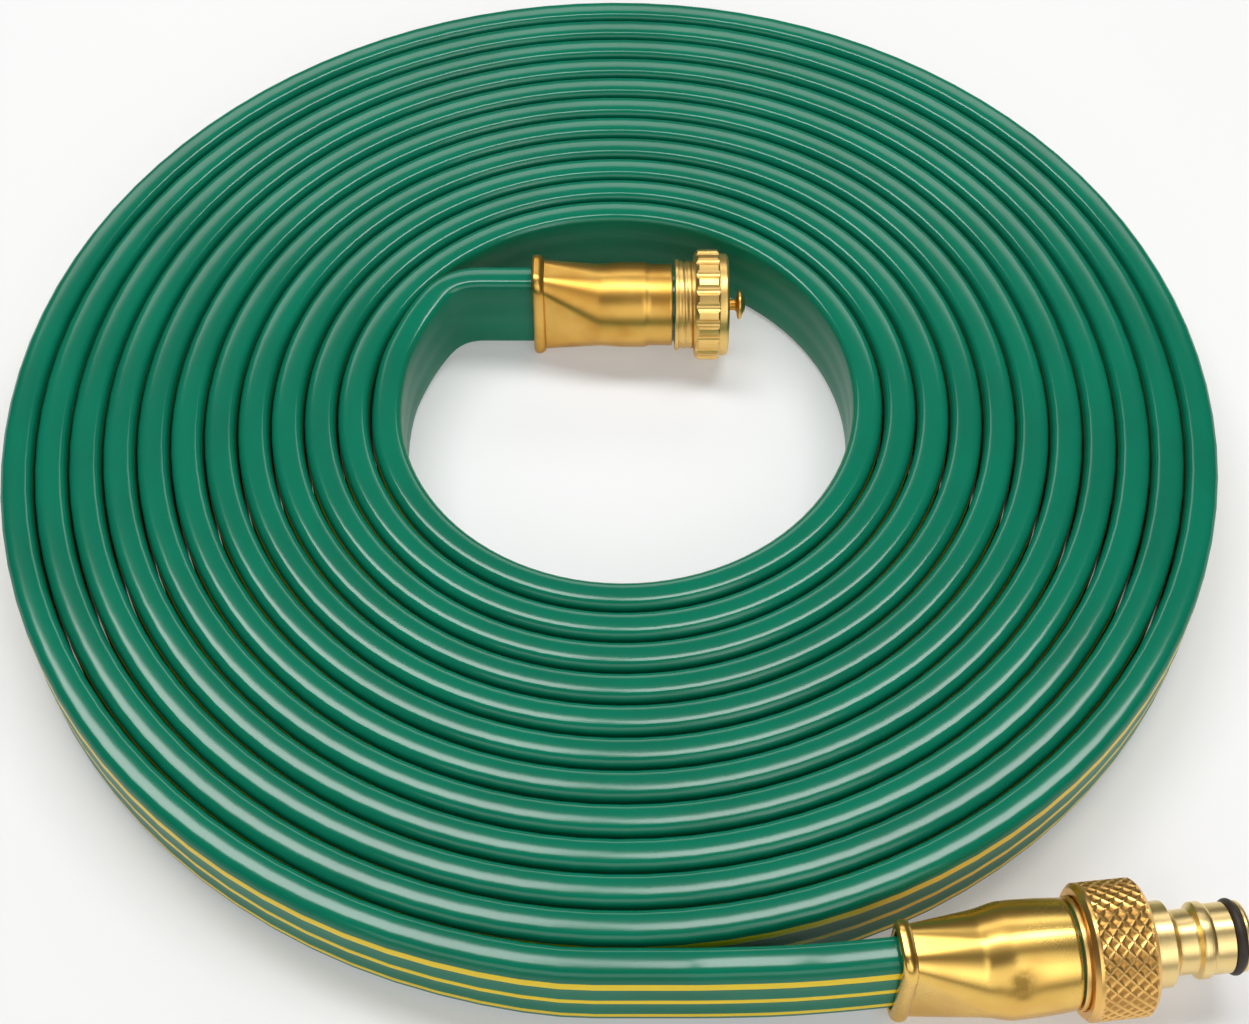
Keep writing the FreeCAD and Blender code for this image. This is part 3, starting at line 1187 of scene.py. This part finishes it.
@dataclass
class EndCap:
    """Fluted cap with a smooth rim and a chain stud, mm."""

    tail: Tail
    visible_thread: float = 4.1
    ring_length: float = 6.2
    ring_diameter: float = 28.4
    rim_diameter: float = 26.4
    rim_length: float = 2.5
    wall: float = 2.2
    flutes: int = 20
    flute_radius: float = 1.5
    flute_depth: float = 0.75
    rear_chamfer: float = 1.0
    rear_slope: float = 1.1
    front_chamfer: float = 0.35
    rear_inset: float = 1.05
    edge: float = 0.15
    face_round: float = 0.9
    lead_in: float = 0.4
    stud_radius: float = 1.5
    stud_room: float = 0.05

    @property
    def rear(self) -> float:
        """Open end of the cap."""
        return self.tail.nose + self.visible_thread

    @property
    def face(self) -> float:
        """Outer face of the cap."""
        return self.rear + self.ring_length + self.rim_length

    def fluted_radius(self, x: float, turn: float) -> float:
        """Radius of the fluted ring, cut back by its chamfers.

        Args:
            x: place along the axis, mm.
            turn: angle round it.

        Returns:
            The radius, mm.
        """
        outside = self.ring_diameter / 2
        step = math.tau / self.flutes
        away = ((turn / step) % 1.0 - 0.5) * step
        reach = outside + self.flute_radius - self.flute_depth
        side = reach * math.sin(away)
        radius = outside
        if abs(side) < self.flute_radius:
            radius = min(outside, reach * math.cos(away) - math.sqrt(self.flute_radius**2 - side**2))
        slope = outside - self.rear_chamfer + (x - self.rear) * self.rear_slope
        front = outside - max(0.0, self.front_chamfer - (self.rear + self.ring_length - x))
        return min(radius, slope, front)

    def build(self) -> Piece:
        """Turn the plain faces and join the fluted ring to them.

        Returns:
            The cap.
        """
        steps = self.flutes * 16
        first, front_edge = 1.3, self.ring_length - self.front_chamfer
        places = [0.0, 0.25, 0.5, 0.75, 1.0, first]
        places += [first + (front_edge - first) * i / 6 for i in range(1, 7)]
        stations = [self.rear + x for x in places + [self.ring_length - self.edge, self.ring_length]]
        band = field_band("cap_flutes", stations, steps, self.fluted_radius)
        female = self.tail.thread / 2 + THREAD_ROOM
        step, seat = self.rear + self.ring_length, self.face - self.wall
        rim, hole = self.rim_diameter / 2, self.stud_radius + self.stud_room
        profile = [(step, rim + self.edge), (step + self.edge, rim)]
        profile += fillet(self.face, rim, self.face_round, 5)
        profile += [(self.face, hole), (seat, hole), (seat, female)]
        profile += [(self.rear + self.lead_in, female), (self.rear, female + self.lead_in)]
        profile.append((self.rear, self.ring_diameter / 2 - self.rear_inset))
        plain = spun("cap_plain", profile, steps, gap=-1)
        made = joined("cap_body", [plain, band])
        self.bridge_ends(made)
        mark_along(made)
        smoothed(made, 32.0)
        return made

    def bridge_ends(self, made: Piece) -> None:
        """Close the plane rings between the fluted edge and the turned faces.

        Args:
            made: the cap.
        """
        mesh = made.data
        for place in (self.rear, self.rear + self.ring_length):
            with editing(made):
                bpy.ops.mesh.select_mode(type="EDGE")
                bpy.ops.mesh.select_all(action="DESELECT")
                bpy.ops.mesh.select_non_manifold()
            near = [abs(vertex.co.x - place * MM) < 0.01 * MM for vertex in mesh.vertices]
            rims = [edge.select and all(near[v] for v in edge.vertices) for edge in mesh.edges]
            held = {v for edge, chosen in zip(mesh.edges, rims) if chosen for v in edge.vertices}
            mesh.edges.foreach_set("select", rims)
            mesh.vertices.foreach_set("select", [v in held for v in range(len(near))])
            if held:
                bpy.ops.object.mode_set(mode="EDIT")
                bpy.ops.mesh.bridge_edge_loops()
                bpy.ops.object.mode_set(mode="OBJECT")
        weld(made)

    def stud(self) -> Piece:
        """Turn the headed stud in the cap's face.

        Returns:
            The stud.
        """
        seat = self.face - self.wall
        profile = [(seat, 0.0), (seat, self.stud_radius)] + [(self.face + x, r) for x, r in STUD]
        made = spun("chain_stud_head", profile, 64)
        mark_along(made)
        smoothed(made, 40.0)
        return made


# Studio


@dataclass
class Studio:
    """Pale floor, soft lamps and the camera at the photograph's place."""

    image_width: float = 1249.0
    focal_pixels: float = 1945.5
    elevation: float = 54.0
    eye: Place = (1.4, -305.6, 393.4)
    floor_colour: Colour = colour(0.97, 0.97, 0.97)
    floor_shade: Colour = colour(0.955, 0.955, 0.96)
    floor_glow: float = 0.25
    air_colour: Colour = colour(1.0, 0.95, 0.88)
    air_strength: float = 0.08
    aim: Place = (0.0, -0.02, 0.0)

    def camera(self) -> None:
        """Set the camera, worked out for the photograph's frame."""
        data = bpy.data.cameras.new("camera")
        data.sensor_width = 36.0
        data.lens = data.sensor_width * self.focal_pixels / self.image_width
        data.clip_start, data.clip_end = 0.01, 20.0
        eye = bpy.data.objects.new("camera", data)
        eye.location = (Vector(self.eye) + SHIFT) * MM
        eye.rotation_euler = (math.radians(90.0 - self.elevation), 0.0, 0.0)
        bpy.context.scene.collection.objects.link(eye)
        bpy.context.scene.camera = eye

    def lamp(
        self, name: str, place: Place, size: Pair, power: float, roll: float = 0.0,
    ) -> None:
        """Add a soft area lamp that looks at the coil.

        Args:
            name: name of the lamp.
            place: its middle, metres.
            size: width and height, metres.
            power: watts.
            roll: turn about its own line of sight, degrees, counter-clockwise from above.
        """
        data = bpy.data.lights.new(name, "AREA")
        data.shape = "RECTANGLE"
        data.size, data.size_y = size
        data.energy = power
        made = bpy.data.objects.new(name, data)
        made.location = place
        aim = Vector(self.aim) - Vector(place)
        turned = aim.to_track_quat("-Z", "Y").to_matrix() @ Matrix.Rotation(math.radians(roll), 3, "Z")
        made.rotation_euler = turned.to_euler()
        bpy.context.scene.collection.objects.link(made)

    def floor(self) -> None:
        """Add the floor, and the sky that lights it."""
        object_mode()
        bpy.ops.mesh.primitive_plane_add(size=16.0, location=(0, 0, -0.0002))
        made = bpy.context.object
        made.name = "floor"
        shader = Shader("floor_paint")
        cloud = shader.noise(3.0, 2.0)
        tint = shader.blend(cloud, self.floor_colour, self.floor_shade)
        sockets = {"Base Color": tint, "Roughness": 0.6, "Specular IOR Level": 0.2}
        made.data.materials.append(shader.surface(sockets, self.floor_glow))
        world = bpy.data.worlds.new("studio_air")
        bpy.context.scene.world = world
        world.use_nodes = True
        sky = world.node_tree.nodes["Background"]
        sky.inputs[0].default_value = self.air_colour
        sky.inputs[1].default_value = self.air_strength

    def build(self) -> None:
        """Set up everything round the object."""
        scene = bpy.context.scene
        scene.view_settings.view_transform = "Standard"
        self.floor()
        self.lamp("right_softbox", (0.285, 0.21, 1.0), (0.25, 0.6), 3.9, -25.0)
        self.lamp("left_softbox", (-0.335, 0.26, 1.0), (0.29, 0.62), 4.6, 28.0)
        self.lamp("back_panel", (-0.05, 1.5, 1.2), (1.9, 0.45), 6.0)
        self.lamp("front_panel", (0.0, -1.25, 0.75), (1.8, 1.0), 6.0)
        self.lamp("right_front_panel", (0.54, -0.75, 0.8), (0.45, 1.0), 1.8)
        self.camera()


def main() -> None:
    """Build the hose, its fittings and the studio."""
    logging.basicConfig(level=logging.INFO)
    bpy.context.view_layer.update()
    section = BandSection()
    lines = ((-7.5 * MM, 0.85 * MM), (-0.2 * MM, 0.95 * MM), (7.1 * MM, 1.3 * MM))
    green = HoseFinish("hose_green", lines).make()
    satin = HoseFinish("hose_green_sides", lines, roughness=0.36, gloss=0.22).make()
    pressed = BrassFinish("brass_pressed", roughness=0.28).make()
    warm = BrassFinish("brass_pressed_warm", colour(0.74, 0.44, 0.10), colour(0.62, 0.32, 0.06), 0.34).make()
    turned = BrassFinish(
        "brass_turned", colour(0.87, 0.59, 0.20), colour(0.80, 0.50, 0.15), 0.36, ring_depth=0.5).make()
    rubber = RubberFinish("seal_rubber").make()

    inlet = Fitting((56.3, -147.4), 6.3)
    cap = Fitting((-22.35, 36.1), 0.0)
    hose = Hose(HoseRoute(inlet, cap), section)
    band = hose.build(green, satin)

    # The inlet sleeve's dimple carries a painted dark reflection
    inlet_ferrule = Ferrule(
        "inlet_sleeve", length=36.7, diameter=24.2, bore=21.0, neck=21.8, end_diameter=23.0,
        dimple=(24.0, 138.0, 0.5))
    cap_ferrule = Ferrule(
        "cap_sleeve", length=36.05, diameter=22.0, bore=19.1, neck=21.2, end_diameter=21.1, step_length=7.0)
    inlet_tail = Tail("inlet_spigot", inlet_ferrule.length, hose_out=0.5, thread_length=8.7)
    cap_tail = Tail("cap_spigot", cap_ferrule.length, hose_out=0.7, thread_length=8.2)
    connector = Connector(inlet_tail)
    pale = colour(0.90, 0.68, 0.30)
    # The plug's knurl pits take painted shade in this finish's darkest colour
    split = BrassFinish(
        "brass_plug", pale, pale, roughness=0.32, ring_depth=0.6, split=(connector.front + 0.2) * MM,
        painted_shade_and_reflection=colour(0.42, 0.20, 0.045)).make()
    end_cap = EndCap(cap_tail)

    inlet.place(inlet_ferrule.build(), pressed, Body.HOSE, Slot.BRASS, "inlet_ferrule")
    cap.place(cap_ferrule.build(), warm, Body.HOSE, Slot.BRASS, "end_ferrule")
    inlet_end = inlet_ferrule.hose_end("inlet_hose_end", section, inlet_tail)
    inlet.place(inlet_end, green, Body.HOSE, Slot.HOSE, "hose_inlet_end")
    cap_end = cap_ferrule.hose_end("cap_hose_end", section, cap_tail)
    cap.place(cap_end, green, Body.HOSE, Slot.HOSE, "hose_cap_end")
    inlet.place(inlet_tail.build(), turned, Body.HOSE, Slot.BRASS, "inlet_tail")
    cap.place(cap_tail.build(), turned, Body.HOSE, Slot.BRASS, "end_tail")
    inlet.place(connector.build(), split, Body.INLET, Slot.BRASS, "inlet_connector")
    inlet.place(connector.sealing_ring(), rubber, Body.INLET, Slot.SEAL, "connector_o_ring")
    cap.place(end_cap.build(), turned, Body.CAP, Slot.BRASS, "end_cap")
    cap.place(end_cap.stud(), turned, Body.CAP, Slot.BRASS, "chain_stud")
    for name in ("inlet_washer", "end_washer"):
        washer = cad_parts[name]
        washer.data.materials.clear()
        washer.data.materials.append(rubber)

    Studio().build()
    object_mode()


if __name__ == "__main__":
    main()
